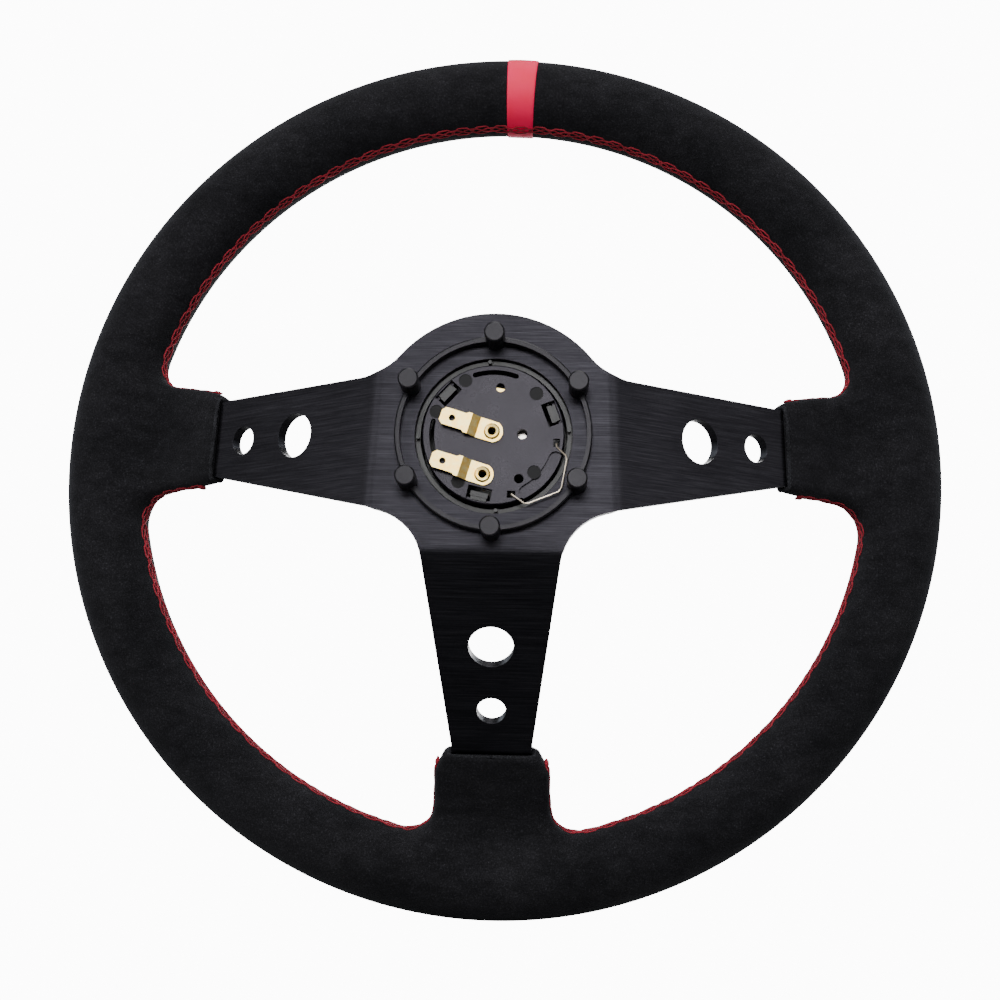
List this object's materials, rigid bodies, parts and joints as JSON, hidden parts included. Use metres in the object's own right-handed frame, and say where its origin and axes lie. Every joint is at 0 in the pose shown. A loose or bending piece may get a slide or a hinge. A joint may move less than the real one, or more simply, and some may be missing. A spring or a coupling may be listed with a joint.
{
  "type": "steering wheel",
  "caption": "Deep-dish three-spoke steering wheel with a suede rim, red centre stripe, horn button and pull-off screw cap ring.",
  "frame": {"origin": "centre of the hub plate's rear face, where the steering boss seats", "axes": "-Y out of the rear face towards the steering column, +Y towards the driver, +Z towards twelve o'clock, +X to the right as seen from the column side"},
  "size_m": [0.3492, 0.1039, 0.3496],
  "materials": {
    "suede_black": "brushed nap",
    "leather_red": "fine grain",
    "foam_grey": "moulded",
    "aluminium_black": "black anodised, brushed",
    "aluminium_raw": "satin",
    "plastic_black": "satin",
    "plastic_grey": "fine spark texture",
    "steel_black": "black oxide",
    "steel_bright": "bright",
    "brass": "bright"
  },
  "bodies": {
    "wheel": {"upper_left_cover": "suede_black", "upper_right_cover": "suede_black", "lower_left_cover": "suede_black", "lower_right_cover": "suede_black", "left_spoke_sleeve": "suede_black", "right_spoke_sleeve": "suede_black", "lower_spoke_sleeve": "suede_black", "centre_stripe": "leather_red", "rim_foam": "foam_grey", "rim_hoop": "aluminium_raw", "left_spoke_rivet_a": "aluminium_raw", "left_spoke_rivet_b": "aluminium_raw", "right_spoke_rivet_a": "aluminium_raw", "right_spoke_rivet_b": "aluminium_raw", "lower_spoke_rivet_a": "aluminium_raw", "lower_spoke_rivet_b": "aluminium_raw", "spoke_frame": "aluminium_black", "hub_screw_1": "steel_black", "hub_screw_2": "steel_black", "hub_screw_3": "steel_black", "hub_screw_4": "steel_black", "hub_screw_5": "steel_black", "hub_screw_6": "steel_black", "horn_bezel": "plastic_black", "horn_base": "plastic_grey", "return_spring": "steel_bright", "retaining_wire": "steel_bright", "upper_contact_strip": "brass", "lower_contact_strip": "brass", "upper_terminal": "brass", "lower_terminal": "brass", "upper_terminal_eyelet": "brass", "lower_terminal_eyelet": "brass"},
    "horn_button": {"horn_cap": "plastic_black", "horn_cap_badge": "plastic_black", "contact_disc": "steel_bright"},
    "screw_cap_ring": {"bolt_cap_ring": "plastic_black"}
  },
  "joints": [
    {"name": "horn_press", "type": "slide", "parent": "wheel", "child": "horn_button", "axis": [0, -1, 0], "range_m": [0, 0.0015], "stiffness_N_per_m": 2500, "deforming": ["return_spring"]},
    {"name": "cap_ring_pull", "type": "slide", "parent": "wheel", "child": "screw_cap_ring", "axis": [0, -1, 0], "range_m": [0, 0.02]}
  ]
}
